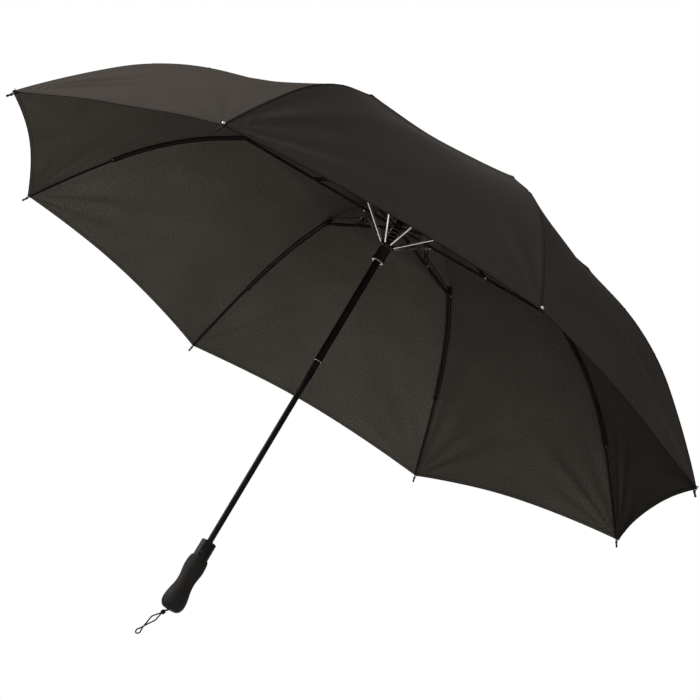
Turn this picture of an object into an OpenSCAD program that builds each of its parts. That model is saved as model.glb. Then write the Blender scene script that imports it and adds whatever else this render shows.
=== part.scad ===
// Two-fold golf umbrella with a telescopic shaft, shown open.
// Millimetres. The origin is the middle of the grip, on the shaft, and +Z runs up to the ferrule.
// Rib 1 lies along +X, and the others follow every 45 degrees. Each rib is drawn in its own
// plane, where a point is [distance from the axis, height].

/* [Canopy] */
// Distance of the rib tips from the axis
tip_r = 635; // [615:5:655]
// Height of the rib tips above the middle of the grip
tip_z = 457; // [447:1:467]
// Thickness of the canopy's fabric solid
cloth_t = 0.8; // [0.6:0.1:1.2]
// How far each hem curves in between two tips
hem_dip = 12; // [4:1:20]
// How far each panel hangs in between two ribs
panel_sag = 9; // [4:1:14]

/* [Shaft] */
// Outer diameter of the upper tube
upper_d = 12; // [11.6:0.1:12.2]
// Outer diameter of the lower tube
lower_d = 9.6; // [9:0.1:9.8]
// Height of the upper tube's lower end
upper_z = 410; // [405:1:415]
// Height of the lower end of the bushing that joins the two tubes
bushing_z = 376; // [374:1:380]

/* [Frame] */
// Height of the top ribs' pivots on the notch
notch_z = 755; // [750:1:760]
// Height of the stretchers' pivots on the hub
hub_z = 670; // [667:1:673]
// Height of the struts' lower ends on the runner
runner_z = 635; // [633:1:637]
// Distance of the elbow pivots from the axis
elbow_r = 330; // [324:1:336]
// Height of the elbow pivots
elbow_z = 715; // [711:1:719]
// Distance of the fibreglass rods' sockets from the axis
socket_r = 525; // [519:1:531]
// Height of the fibreglass rods' sockets
socket_z = 587; // [583:1:591]
// Width of the top ribs' and outer ribs' channels
channel_w = 6.4; // [6.4:0.1:6.8]
// Width of the stretchers' channels
stretcher_w = 4.6; // [4.3:0.1:4.7]
// Diameter of the fibreglass rods
rod_d = 3.2; // [2.6:0.1:3.4]

/* [Handle] */
// Length of the grip
grip_l = 92; // [86:1:96]
// Diameter of the grip's bulge at the bottom
grip_low_d = 38; // [35:1:40]
// Diameter of the grip's waist
grip_waist_d = 28; // [26:1:30]
// Diameter of the grip's bulge at the top
grip_top_d = 33; // [31:1:35]
// Diameter of the collar above the grip
collar_d = 25; // [24:0.5:26]
// Height of the collar above the grip
collar_h = 28; // [27:1:29]
// Diameter of the release button
button_d = 7; // [6:0.5:7.5]

/* [Hidden] */
$fn = 48;
RIBS = [1 : 8];

// Gaps
slide_gap = 0.1;          // between a tube and what slides on it
pivot_gap = 0.12;         // between a rivet and its eye, radially
slot_gap = 0.4;           // on each side of a link in its slot
cloth_gap = 2.0;          // between the fabric and the frame below it

// Shaft
tube_wall = 0.5;
upper_top = notch_z + 13;
lower_bottom = grip_l/2 - 30;
lower_top = upper_z + 44;
bushing_d = upper_d - 2*tube_wall - 0.1;
bushing_top = upper_z + 32;

// Pivots, each as [distance from the axis, height]
notch_p = [10.5, notch_z];
hub_p = [8.5, hub_z];
runner_p = [12, runner_z];
elbow_p = [elbow_r, elbow_z];
socket_p = [socket_r, socket_z];
tip_p = [tip_r, tip_z];
stretcher_l = norm(elbow_p - hub_p);
stretcher_a = angle(elbow_p - hub_p);
crossing_s = 170;         // from the hub to where the top rib's end lies on the stretcher
crossing_p = along(hub_p, stretcher_a, crossing_s, 0);
top_rib_l = norm(crossing_p - notch_p);
top_rib_a = angle(crossing_p - notch_p);
bend_start = 45;          // from the elbow to where the outer rib's channel starts to bend
bend_turn = 23.7;         // how far the channel bends between there and the socket
bend_chord = let (c = bend_start*cos(bend_turn/2))
    sqrt(c*c - bend_start*bend_start + pow(norm(socket_p - elbow_p), 2)) - c;
bend_r = bend_chord/(2*sin(bend_turn/2));
channel_a = angle(socket_p - elbow_p)
    + atan2(bend_chord*sin(bend_turn/2), bend_start + bend_chord*cos(bend_turn/2));
bend_hub = along(elbow_p, channel_a, bend_start, -bend_r);
socket_a = channel_a - bend_turn;
channel_l = bend_start + bend_r*bend_turn*PI/180;
heel_l = 16.5;            // from the elbow back to the tie rod's hole
heel_p = along(elbow_p, channel_a, -heel_l, 0);
tie_back = 17;            // from the top rib's end back to the tie rod's other end
tie_up = 6;
tie_p = along(crossing_p, top_rib_a, -tie_back, tie_up);
tie_l = norm(heel_p - tie_p);
tie_a = angle(heel_p - tie_p);
strut_s = 58;             // from the hub to the strut's rivet
strut_drop = 3;           // how far that rivet lies below the stretcher's own line
strut_p = along(hub_p, stretcher_a, strut_s, -strut_drop);
strut_l = norm(strut_p - runner_p);
strut_a = angle(strut_p - runner_p);

// Sheet-metal sections
channel_wall = 0.6;
channel_up = 2.7;         // from the pivots' line to the back of an outer rib
channel_down = 2.3;
stretcher_wall = 0.5;
stretcher_half = 1.8;
tongue_t = 2;             // thickness of a flattened end
strut_t = 2.2;
strut_h = 3.4;
fork_l = 60;              // length of a top rib's forked end, which has no web
rivet_r = 1.1;
thin_rivet_r = 0.85;
wire_r = 0.6;             // rings through the links' inner ends
tie_r = 0.8;
tie_y = channel_w/2 + 1.4;

// Fibreglass rods
rod_turn = 6;             // how far a rod bends between its socket and its tip
rod_chord = norm(tip_p - socket_p);
rod_bend_r = rod_chord / (2*sin(rod_turn/2));
rod_start_a = angle(tip_p - socket_p) + rod_turn/2;
rod_hub = along(socket_p, rod_start_a, 0, -rod_bend_r);
cap_turn = turn_of(30);   // how much of the bend the end cap takes
cloth_turn = rod_turn - turn_of(10);   // where the fabric ends on the rod

// Handle
core_r = 9;
core_bottom = -grip_l/2 + 14;
core_top = grip_l/2 + collar_h;
recess_w = 7.6;           // the upright recess down the collar's front, with the button in it
recess_deep = 1.2;
button_z = grip_l/2 + 7.4;
button_a = 250;           // the button's place around the handle
button_out = 0.2;
button_depth = 5.2;

// Wrist strap: a cord that leaves the grip's end, turns at the far end of its loop and comes back
strap_r = 1.1;
hole_r = 3;               // the hole in the grip's end
strap_route = [
    [1, 0.7, -38], [1, 0.8, -42.3], [0.1, 1.7, -46.6], [-3.2, 3.6, -49.2], [-4.5, 5.2, -52.9],
    [-5.2, 7, -56.8], [-5.5, 8.2, -61], [-6.1, 9, -65.3], [-7, 9.5, -69.6],
    [-9.2, 10.1, -73.5], [-11.5, 11.1, -77.1], [-13.5, 12.8, -80.7], [-15.2, 14.7, -84.2],
    [-16.8, 16, -87.9], [-19.2, 16.8, -91.7], [-21.5, 18.4, -95.1], [-20.9, 20.3, -98.6],
    [-18.2, 22.6, -100.1], [-15, 23.9, -98.9], [-13.1, 23.4, -95.6], [-13.9, 22.1, -91.1],
    [-14.6, 20, -87], [-14.5, 18.2, -82.9], [-14.2, 17.2, -78.7], [-14.2, 15.7, -74.5],
    [-14.2, 13.7, -70.5], [-14, 11.2, -66.8], [-12.3, 8.4, -63.7], [-10.2, 6.1, -60.5],
    [-7.6, 4, -57.3], [-5.4, 2.5, -53.8], [-3.6, 0.8, -50.2], [-1.3, -0.9, -46.4],
    [-1, -0.7, -42.3], [-1, -0.7, -38]];

// ---- Functions ----

function angle(v) = atan2(v[1], v[0]);
// A point at s along the direction a from p, and up off that line
function along(p, a, s, up) = p + s*[cos(a), sin(a)] + up*[-sin(a), cos(a)];
// A point of rib plane k in space
function in_plane(k, p) = [p[0]*cos(45*(k - 1)), p[0]*sin(45*(k - 1)), p[1]];
// A point of an outer rib, s beyond the elbow and up off the pivots' line
function rib_point(s, up) = s < bend_start ? along(elbow_p, channel_a, s, up)
    : let (a = channel_a - (s - bend_start)*180/PI/bend_r)
      bend_hub + (bend_r + up)*[-sin(a), cos(a)];
function turn_of(length) = length*180/PI/rod_bend_r;
function rod_point(turn, off) =
    let (a = rod_start_a - turn) rod_hub + (rod_bend_r + off)*[-sin(a), cos(a)];

// The crease of the canopy over a rib, off above the frame
function crease(off) =
    let (from = [30, notch_z + 7.8 + off],
         to = along(elbow_p, channel_a, -heel_l - 6, channel_up + off + 1.4))
    concat(
        [[7.6, notch_z + 8.5 + off], from],
        [for (share = [0.2, 0.42, 0.64, 0.86])
            from + share*(to - from) + [0, 6*share*(1 - share)]],
        [to, along(elbow_p, channel_a, -8, channel_up + off + 0.4)],
        [for (s = [8, 35, 65, 95, 125, 155, 185, 210, channel_l - 8])
            rib_point(s, channel_up + off)],
        [for (share = [0.08, 0.3, 0.52, 0.76]) rod_point(share*cloth_turn, channel_up + off - 0.6*share)],
        [rod_point(cloth_turn, channel_up + off - 0.8)]);

// How far along the crease row i lies, from 0 to 1
function row_share(i, rows) = i/(rows - 1);
function bell(v) = 4*v*(1 - v);
// A point of the panel between ribs k and k + 1, at v across it
function panel_point(k, i, v, line) =
    let (a = in_plane(k, line[i]), b = in_plane(k + 1, line[i]),
         flat = a + v*(b - a), share = row_share(i, len(line)),
         out = [cos(45*(k - 1 + v)), sin(45*(k - 1 + v)), 0],
         sag = panel_sag*bell(v)*sin(180*pow(share, 0.8)),
         dip = hem_dip*bell(v)*pow(share, 3))
    flat - (0.55*sag + 0.75*dip)*out - [0, 0, 0.83*sag - 1.1*dip];

PANEL_STEPS = 8;
function panel_grid(line) = [for (i = [0 : len(line) - 1])
    [for (k = RIBS, j = [0 : PANEL_STEPS - 1]) panel_point(k, i, j/PANEL_STEPS, line)]];

// Two triangles of a grid's cell, with n points to a ring, from ring i to ring i + 1
function cell(a, b, c, d) = [[a, b, c], [a, c, d]];

// A ring of points around a route, square to it at point i
function route_dir(route, i) =
    let (v = route[min(i + 1, len(route) - 1)] - route[max(i - 1, 0)]) v/norm(v);
function side_of(dir) = let (s = cross(dir, [0, 1, 0])) s/norm(s);
function ring_at(route, i, r, sides) =
    let (dir = route_dir(route, i), u = side_of(dir), w = cross(dir, u))
    [for (n = [0 : sides - 1]) route[i] + r*(cos(360*n/sides)*u + sin(360*n/sides)*w)];

// ---- Shared shapes ----

module in_rib(k) { rotate([0, 0, 45*(k - 1)]) children(); }

// Puts a link's own frame at p: x along the link, z off its back
module link(p, a) { translate([p[0], 0, p[1]]) rotate([0, -a, 0]) children(); }

// A cylinder across a link, from y0 to y1
module across(x, z, r, y0, y1) {
    translate([x, y1, z]) rotate([90, 0, 0]) cylinder(h = y1 - y0, r = r);
}

// A box given by its lower and upper ends
module span(x, y, z) {
    translate([x[0], y[0], z[0]]) cube([x[1] - x[0], y[1] - y[0], z[1] - z[0]]);
}

module tube(r_out, r_in, z0, z1) {
    translate([0, 0, z0]) difference() {
        cylinder(h = z1 - z0, r = r_out);
        translate([0, 0, -1]) cylinder(h = z1 - z0 + 2, r = r_in);
    }
}

// A channel from x0 to x1, open below, or open above when flipped
module channel(x0, x1, w, wall, low, high, web_x0, web_x1, flip = false) {
    for (side = [-1, 1])
        span([x0, x1], side > 0 ? [w/2 - wall, w/2] : [-w/2, -w/2 + wall], [low, high]);
    span([web_x0, web_x1], [-w/2, w/2], flip ? [low, low + wall] : [high - wall, high]);
}

// A wire ring around the shaft that the links' inner ends turn on
module wire_ring(p) {
    translate([0, 0, p[1]]) rotate_extrude() translate([p[0], 0]) circle(r = wire_r, $fn = 24);
}

// Eight radial slots and a groove, cut from a ring of the mechanism
module slots(p, w, low, high) {
    for (k = RIBS) in_rib(k)
        span([p[0] - 2.6, p[0] + 20], [-w/2, w/2], [p[1] - low, p[1] + high]);
}

// ---- Handle ----

module grip() {
    half = grip_l/2;
    low = [grip_low_d/2, -half + 14];
    waist = [grip_waist_d/2, 4];
    top = [grip_top_d/2, half - 17];
    color("#1d1c1c") rotate_extrude($fn = 96) difference() {
        polygon(concat(
            [[0, -half], [low[0] - 10, -half]],
            [for (a = [15 : 15 : 75]) [low[0] - 10 + 10*sin(a), -half + 14*(1 - cos(a))]],
            [for (t = [0 : 0.1 : 0.9]) ease(low, waist, t)],
            [for (t = [0 : 0.1 : 0.9]) ease(waist, top, t)],
            [for (a = [0 : 18 : 72]) [top[0] - 3.4*(1 - cos(a)), top[1] + 17*sin(a)]],
            [[top[0] - 3.4, half], [0, half]]));
        translate([-1, core_bottom]) square([core_r + 1, grip_l*2]);
        translate([-1, -half - 1]) square([hole_r + 1, grip_l]);
    }
}

// A point t of the way from p to q on a curve that starts and ends upright
function ease(p, q, t) = [p[0] + (q[0] - p[0])*(1 - cos(180*t))/2, p[1] + (q[1] - p[1])*t];

module handle_core() {
    color("#222122") difference() {
        union() {
            translate([0, 0, core_bottom]) cylinder(h = grip_l/2 - core_bottom, r = core_r);
            translate([0, 0, grip_l/2]) rotate_extrude($fn = 96) polygon([
                [0, 0], [collar_d/2, 0], [collar_d/2 - 0.2, collar_h - 0.5],
                [collar_d/2 - 0.7, collar_h], [0, collar_h]]);
        }
        rotate([0, 0, button_a])
            span([collar_d/2 - recess_deep, collar_d], [-recess_w/2, recess_w/2],
                 [grip_l/2 + 3.4, core_top + 1]);
        translate([0, 0, lower_bottom]) cylinder(h = 200, r = lower_d/2);
        translate([0, 0, core_bottom - 1]) cylinder(h = 40, r = 3);
        rotate([0, 0, button_a]) translate([collar_d/2 - button_depth, 0, button_z])
            rotate([0, 90, 0]) cylinder(h = 20, r = button_d/2 + 0.25);
    }
}

module button() {
    color("#3a3a3c") rotate([0, 0, button_a]) translate([0, 0, button_z]) rotate([0, 90, 0]) {
        translate([0, 0, collar_d/2 - button_depth + 3.2])
            cylinder(h = button_depth - 3.2 + button_out - 0.8, r = button_d/2);
        translate([0, 0, collar_d/2 + button_out - 0.8])
            cylinder(h = 0.8, r1 = button_d/2, r2 = button_d/2 - 0.8);
    }
}

module wrist_strap() {
    sides = 8;
    last = len(strap_route) - 1;
    color("#171717") polyhedron(
        points = [for (i = [0 : last]) each ring_at(strap_route, i, strap_r, sides)],
        faces = concat(
            [[for (n = [0 : sides - 1]) n]],
            [for (i = [0 : last - 1], n = [0 : sides - 1]) let (m = (n + 1) % sides)
                each cell(i*sides + n, (i + 1)*sides + n, (i + 1)*sides + m, i*sides + m)],
            [[for (n = [sides - 1 : -1 : 0]) last*sides + n]]));
}

// ---- Shaft ----

module lower_tube() {
    color("#161617") tube(lower_d/2, lower_d/2 - tube_wall, lower_bottom, lower_top);
}

module upper_tube() {
    color("#121213") {
        tube(upper_d/2, upper_d/2 - tube_wall, upper_z, upper_top);
        difference() {
            tube(bushing_d/2, lower_d/2 + slide_gap, bushing_z, bushing_top);
            translate([0, 0, bushing_z - 1]) cylinder(h = 2, r1 = lower_d/2 + 1.1, r2 = lower_d/2);
        }
    }
}

module notch() {
    low = notch_z - 6;
    color("#1a1a1a") {
        difference() {
            union() {
                translate([0, 0, low]) cylinder(h = 12.5, r = 12.6);
                translate([0, 0, low - 6]) cylinder(h = 7, r = 8.4);
            }
            translate([0, 0, low - 10]) cylinder(h = 40, r = upper_d/2);
            slots(notch_p, tongue_t + 2*slot_gap, 7, 3.4);
            wire_groove(notch_p);
        }
        wire_ring(notch_p);
    }
}

// The groove that holds a wire ring
module wire_groove(p) {
    translate([0, 0, p[1]]) rotate_extrude() translate([p[0], 0]) circle(r = wire_r, $fn = 24);
}

module ferrule() {
    base = notch_z + 8.5 + cloth_gap + cloth_t + 0.4;
    color("#161616") {
        difference() {
            translate([0, 0, base]) rotate_extrude($fn = 64) polygon([
                [0, 0], [13, 0], [13, 1.2], [9.5, 3], [6.4, 5.5], [5, 8], [5, 19],
                [4.6, 21], [2.8, 23.4], [0, 24.4]]);
            translate([0, 0, base - 1]) cylinder(h = upper_top - base + 1.3, r = upper_d/2 + 0.02);
        }
    }
}

// ---- Mechanism on the shaft ----

module stretcher_hub() {
    color("#1a1a1a") {
        difference() {
            union() {
                translate([0, 0, hub_z - 3]) cylinder(h = 6, r = 10.6);
                translate([0, 0, hub_z + 2.9]) cylinder(h = 4.2, r = 7.9);
            }
            translate([0, 0, hub_z - 10]) cylinder(h = 40, r = upper_d/2 + slide_gap);
            for (k = RIBS) in_rib(k)
                span([hub_p[0] - 1.95, hub_p[0] + 20],
                     [-tongue_t/2 - slot_gap, tongue_t/2 + slot_gap], [hub_z - 4, hub_z + 10]);
            wire_groove(hub_p);
        }
        wire_ring(hub_p);
    }
}

module runner() {
    body_r = 10;
    color("#171717") difference() {
        translate([0, 0, runner_z - 32]) rotate_extrude($fn = 96) polygon([
            [0, 0], [11.2, 0], [11.4, 1.5], [11.4, 4.5], [body_r, 6.5], [body_r - 0.6, 20],
            [body_r, 25.5], [13, 28.6], [13, 33.6], [12, 34.6], [0, 34.6]]);
        translate([0, 0, runner_z - 40]) cylinder(h = 60, r = upper_d/2 + slide_gap);
        for (k = RIBS) in_rib(k)
            span([runner_p[0] - 2.7, runner_p[0] + 20],
                 [-strut_t/2 - slot_gap, strut_t/2 + slot_gap], [runner_z - 5, runner_z + 10]);
    }
}

module runner_spring() {
    turns = 4;
    steps = 20;               // to a turn
    sides = 8;
    coil_r = 8;
    coil_wire = 1.15;
    low = runner_z + 2.6 + coil_wire + 0.15;
    high = hub_z - 3 - coil_wire - 0.15;
    last = turns*steps;
    color("#2a2a2b") polyhedron(
        points = [for (i = [0 : last], n = [0 : sides - 1])
            let (a = 360*i/steps, r = coil_r + coil_wire*cos(360*n/sides))
            [r*cos(a), r*sin(a), low + (high - low)*i/last + coil_wire*sin(360*n/sides)]],
        faces = concat(
            [[for (n = [0 : sides - 1]) n]],
            [for (i = [0 : last - 1], n = [0 : sides - 1]) let (m = (n + 1) % sides)
                each cell(i*sides + n, (i + 1)*sides + n, (i + 1)*sides + m, i*sides + m)],
            [[for (n = [sides - 1 : -1 : 0]) last*sides + n]]));
}

// ---- Rib links ----

module top_rib(k) {
    web_end = top_rib_l - fork_l;
    color("#1b1b1c") in_rib(k) link(notch_p, top_rib_a) {
        difference() {
            union() {
                channel(9, top_rib_l, channel_w, channel_wall, -2.3, 2, 9, web_end, flip = true);
                span([0, 16], [-tongue_t/2, tongue_t/2], [-2.3, 1.7]);
                across(0, -0.2, 2, -tongue_t/2, tongue_t/2);
                for (y = [-channel_w/2, channel_w/2 - channel_wall])
                    across(top_rib_l, -0.15, 2.15, y, y + channel_wall);
                span([top_rib_l - tie_back - 2.4, top_rib_l - tie_back + 2.4],
                     [channel_w/2 - channel_wall, channel_w/2], [1.9, tie_up]);
                across(top_rib_l - tie_back, tie_up, 2.4,
                       channel_w/2 - channel_wall, channel_w/2);
            }
            across(0, 0, wire_r + 0.25, -5, 5);
        }
        across(top_rib_l, 0, 1.9, -channel_w/2 - 0.6, -channel_w/2);
    }
}

module stretcher(k) {
    w = stretcher_w;
    color("#161617") in_rib(k) link(hub_p, stretcher_a) {
        difference() {
            union() {
                channel(8, stretcher_l, w, stretcher_wall, -stretcher_half, stretcher_half,
                        8, stretcher_l - 1.5);
                span([0, 15], [-tongue_t/2, tongue_t/2], [-1.6, stretcher_half]);
                across(0, 0.1, 1.7, -tongue_t/2, tongue_t/2);
                for (y = [-w/2, w/2 - stretcher_wall]) {
                    across(stretcher_l, 0, stretcher_half, y, y + stretcher_wall);
                    across(strut_s, -strut_drop, 2, y, y + stretcher_wall);
                    span([strut_s - 2, strut_s + 2], [y, y + stretcher_wall], [-strut_drop, 0]);
                }
            }
            across(0, 0, wire_r + 0.25, -5, 5);
        }
        across(strut_s, -strut_drop, thin_rivet_r, -w/2 - 0.3, w/2 + 0.3);
        across(crossing_s, 0, 1.5, -w/2 - 0.1, w/2 + 0.1);
        across(stretcher_l, 0, rivet_r, -channel_w/2 - 0.3, channel_w/2 + 0.1);
        across(stretcher_l, 0, 1.9, -channel_w/2 - 0.9, -channel_w/2 - 0.2);
    }
}

module outer_rib(k) {
    w = channel_w;
    color("#1b1b1c") in_rib(k) link(elbow_p, channel_a) {
        difference() {
            union() {
                channel(-heel_l, bend_start + 1.5, w, channel_wall, -channel_down, channel_up,
                        -heel_l - 1, bend_start + 1.5);
                for (y = [-w/2, w/2 - channel_wall])
                    across(-heel_l, 0, channel_down, y, y + channel_wall);
            }
            across(0, 0, rivet_r + pivot_gap, -10, 10);
            across(-heel_l, 0, tie_r + pivot_gap, 0, 10);
        }
        bent_channel(w/2 - 0.05, w/2 - channel_wall + 0.05);
        translate([bend_start, 0, -bend_r]) rotate([0, bend_turn, 0])
            translate([0, 0, bend_r]) {
                for (y = [-w/2, w/2 - channel_wall])
                    across(0, 0, 2.1, y, y + channel_wall);
                across(0, 0, rivet_r, -w/2 - 0.4, w/2 + 0.4);
            }
    }
}

// The bent part of an outer rib's channel, in the rib's own frame, a hair inside the straight part
module bent_channel(out, inner) {
    low = bend_r - channel_down + 0.05;
    high = bend_r + channel_up - 0.05;
    under = bend_r + channel_up - channel_wall + 0.05;
    translate([bend_start, 0, -bend_r]) rotate([90, 0, 0]) rotate([0, 0, 90 - bend_turn])
        rotate_extrude(angle = bend_turn, $fn = 160) polygon([
            [low, -out], [high, -out], [high, out], [low, out],
            [low, inner], [under, inner], [under, -inner], [low, -inner]]);
}

module rib_rod(k) {
    cap_start = rod_turn - cap_turn;
    color("#202021") in_rib(k) {
        link(socket_p, socket_a) difference() {
            across(0, 0, 2, -rod_d/2, rod_d/2);
            across(0, 0, rivet_r + pivot_gap, -5, 5);
        }
        difference() {
            rod_arc(turn_of(1), cap_start, rod_d/2);
            link(socket_p, socket_a) across(0, 0, 1.9, -5, 5);
        }
        rod_arc(cap_start - turn_of(2), rod_turn, 1.1);
        translate([tip_p[0], 0, tip_p[1]]) sphere(r = 1.9);
    }
}

// A piece of the bent rod between two angles of its bend
module rod_arc(from, to, r) {
    translate([rod_hub[0], 0, rod_hub[1]]) rotate([90, 0, 0])
        rotate([0, 0, 90 + rod_start_a - to])
        rotate_extrude(angle = to - from, $fn = 240) translate([rod_bend_r, 0]) circle(r = r, $fn = 20);
}

module tie_rod(k) {
    color("#1f1f20") in_rib(k) link(tie_p, tie_a) {
        translate([0, tie_y, 0]) rotate([0, 90, 0]) cylinder(h = tie_l, r = tie_r, $fn = 24);
        across(tie_l, 0, tie_r, channel_w/2 - 1.2, tie_y);
        translate([tie_l, tie_y, 0]) sphere(r = tie_r, $fn = 24);
        difference() {
            across(0, 0, 1.9, tie_y - tie_r, tie_y + tie_r);
            across(0, 0, 0.9, 0, 20);
        }
    }
}

module strut(k) {
    color("#b9babb") in_rib(k) link(runner_p, strut_a) difference() {
        union() {
            span([0, strut_l], [-strut_t/2, strut_t/2], [-strut_h/2, strut_h/2]);
            for (x = [0, strut_l]) across(x, 0, strut_h/2, -strut_t/2, strut_t/2);
        }
        for (x = [0, strut_l]) across(x, 0, thin_rivet_r + pivot_gap, -5, 5);
    }
}

// ---- Canopy ----

module canopy() {
    inner = panel_grid(crease(cloth_gap));
    outer = panel_grid(crease(cloth_gap + cloth_t));
    rows = len(inner);
    n = len(inner[0]);
    total = rows*n;
    color("#1a1a19") polyhedron(
        points = concat([for (row = inner) each row], [for (row = outer) each row]),
        faces = concat(
            [for (i = [0 : rows - 2], j = [0 : n - 1]) let (m = (j + 1) % n)
                each cell(i*n + j, i*n + m, (i + 1)*n + m, (i + 1)*n + j)],
            [for (i = [0 : rows - 2], j = [0 : n - 1]) let (m = (j + 1) % n)
                each cell(total + i*n + j, total + (i + 1)*n + j,
                          total + (i + 1)*n + m, total + i*n + m)],
            [for (j = [0 : n - 1]) let (m = (j + 1) % n)
                each cell(j, total + j, total + m, m)],
            [for (j = [0 : n - 1]) let (m = (j + 1) % n, at = (rows - 1)*n)
                each cell(at + m, total + at + m, total + at + j, at + j)]));
}

grip();
handle_core();
button();
wrist_strap();
lower_tube();
upper_tube();
notch();
ferrule();
stretcher_hub();
runner();
runner_spring();
canopy();
for (k = RIBS) {
    top_rib(k);
    stretcher(k);
    outer_rib(k);
    rib_rod(k);
    tie_rod(k);
    strut(k);
}
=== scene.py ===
"""Golf umbrella: cloth, cord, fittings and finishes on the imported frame.

Metres, with +Z from the grip to the ferrule and rib 1 along +X. Sizes named in millimetres
are turned to metres by MM.
"""

import math

import bmesh
import bpy
import numpy as np
from mathutils import Matrix, Vector
from mathutils.bvhtree import BVHTree


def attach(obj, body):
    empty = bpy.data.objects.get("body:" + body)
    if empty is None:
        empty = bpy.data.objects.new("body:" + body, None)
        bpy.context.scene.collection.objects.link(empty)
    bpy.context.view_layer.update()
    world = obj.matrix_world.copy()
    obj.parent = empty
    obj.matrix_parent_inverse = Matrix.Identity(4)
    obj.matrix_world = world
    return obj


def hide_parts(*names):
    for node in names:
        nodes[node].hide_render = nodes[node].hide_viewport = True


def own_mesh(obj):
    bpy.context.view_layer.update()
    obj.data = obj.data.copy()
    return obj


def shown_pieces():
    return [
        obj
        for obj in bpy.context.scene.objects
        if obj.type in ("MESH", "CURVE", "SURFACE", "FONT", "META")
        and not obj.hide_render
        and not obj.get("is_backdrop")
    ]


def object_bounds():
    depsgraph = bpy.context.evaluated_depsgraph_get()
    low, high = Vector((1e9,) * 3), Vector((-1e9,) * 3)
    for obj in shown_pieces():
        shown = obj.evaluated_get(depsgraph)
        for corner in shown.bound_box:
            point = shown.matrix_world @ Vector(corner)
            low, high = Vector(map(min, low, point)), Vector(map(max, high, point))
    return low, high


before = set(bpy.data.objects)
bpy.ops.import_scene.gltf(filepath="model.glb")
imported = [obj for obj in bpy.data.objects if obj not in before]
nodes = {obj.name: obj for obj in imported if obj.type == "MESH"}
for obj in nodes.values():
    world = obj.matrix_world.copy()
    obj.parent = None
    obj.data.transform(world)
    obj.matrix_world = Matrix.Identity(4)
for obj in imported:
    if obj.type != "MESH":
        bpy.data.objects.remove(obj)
cad_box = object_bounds()
RIBS = range(1, 9)
RIB_TURN = 45  # degrees from one rib to the next
MM = 0.001

# ---- Camera: below and in front of the handle, looking up into the cloth ----
# Its place, aim and lens are settled by the image points of the tips, hem and shaft.

PHOTO_W = PHOTO_H = 700
camera_at = Vector((-1.0490, -2.8813, -0.3977))
camera_right = Vector((0.75618, -0.43100, 0.49237))
camera_down = Vector((0.55912, 0.03466, -0.82836))
camera_ahead = Vector((0.33996, 0.90169, 0.26719))
camera_axes = Matrix((camera_right, -camera_down, -camera_ahead)).transposed().to_4x4()
sensor_width = 36
lens = 103.0

camera_data = bpy.data.cameras.new("photo_camera")
camera_data.sensor_fit = "AUTO"
camera_data.sensor_width = sensor_width
camera_data.lens = lens
camera_data.clip_start = 0.05
camera_data.clip_end = 50
camera = bpy.data.objects.new("photo_camera", camera_data)
bpy.context.collection.objects.link(camera)
camera.matrix_world = Matrix.Translation(camera_at) @ camera_axes
bpy.context.scene.camera = camera
bpy.context.view_layer.update()

# Image points, in pixels of the 700 x 700 photograph
IMAGE_POINTS = {
    "object_left": (6, None),
    "object_right": (699, None),
    "object_top": (None, 63),
    "object_bottom": (None, 634),
    "tip_rib_1": (617, 546),
    "tip_rib_2": (413, 481),
    "tip_rib_3": (189, 350),
    "tip_rib_4": (23, 200),
    "tip_rib_5": (7, 96),
    "tip_rib_6": (217, 130),
    "tip_rib_7": (539, 316),
    "tip_rib_8": (695, 496),
    "grip_end": (169, 610),
    "collar_top": (209, 542),
    "runner_foot": (377, 261),
    "runner_top": (388, 244),
    "elbow_rib_3": (326, 224),
    "elbow_rib_2": (449, 295),
    "tube_catch": (225, 524),
}


def image_ray(x, y):
    """The camera's ray through an image point, as (start, direction)."""
    along = Vector((x - PHOTO_W / 2, PHOTO_H / 2 - y, -PHOTO_W * lens / sensor_width))
    return camera.matrix_world.translation, (camera.matrix_world.to_3x3() @ along).normalized()


def surface_tree(*carriers):
    """One BVH tree of the carriers' finished surfaces."""
    graph = bpy.context.evaluated_depsgraph_get()
    corners, polygons = [], []
    for carrier in carriers:
        finished = carrier.evaluated_get(graph)
        mesh = finished.to_mesh()
        start = len(corners)
        corners += [finished.matrix_world @ v.co for v in mesh.vertices]
        polygons += [[start + i for i in p.vertices] for p in mesh.polygons]
        finished.to_mesh_clear()
    return BVHTree.FromPolygons(corners, polygons)


# a ray that misses is searched over the depth of the umbrella, this far from the camera
search_from, search_step, search_count = 2.2, 0.01, 140


def on_surface(x, y, tree):
    """(place, normal) on a surface for an image point; a miss takes the place nearest the ray."""
    start, direction = image_ray(x, y)
    place, normal, _, _ = tree.ray_cast(start, direction)
    if place is None:
        reaches = [search_from + search_step * i for i in range(search_count)]
        found = [tree.find_nearest(start + direction * reach) for reach in reaches]
        place, normal, _, _ = min(found, key=lambda near: near[3])
    return place, normal


# ---- Making objects ----


def piece(name, bm, *finishes):
    """A finished, smooth-shaded object at the origin from a bmesh."""
    mesh = bpy.data.meshes.new(name)
    bm.to_mesh(mesh)
    bm.free()
    mesh.polygons.foreach_set("use_smooth", [True] * len(mesh.polygons))
    made = bpy.data.objects.new(name, mesh)
    bpy.context.collection.objects.link(made)
    for finish in finishes:
        mesh.materials.append(finish)
    return made


def in_rib_plane(k, across=0.0):
    """Turns a shape drawn in the XZ plane to rib k, after a shift across the rib."""
    turn = math.radians(RIB_TURN * (k - 1))
    return Matrix.Rotation(turn, 4, "Z") @ Matrix.Translation((0, across, 0))


def at_link(p, angle):
    """The frame of a link in the XZ plane: X along the link, Z off its back. p in millimetres."""
    start = Matrix.Translation((p[0] * MM, 0, p[1] * MM))
    return start @ Matrix.Rotation(-math.radians(angle), 4, "Y")


# ---- Materials ----


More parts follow.
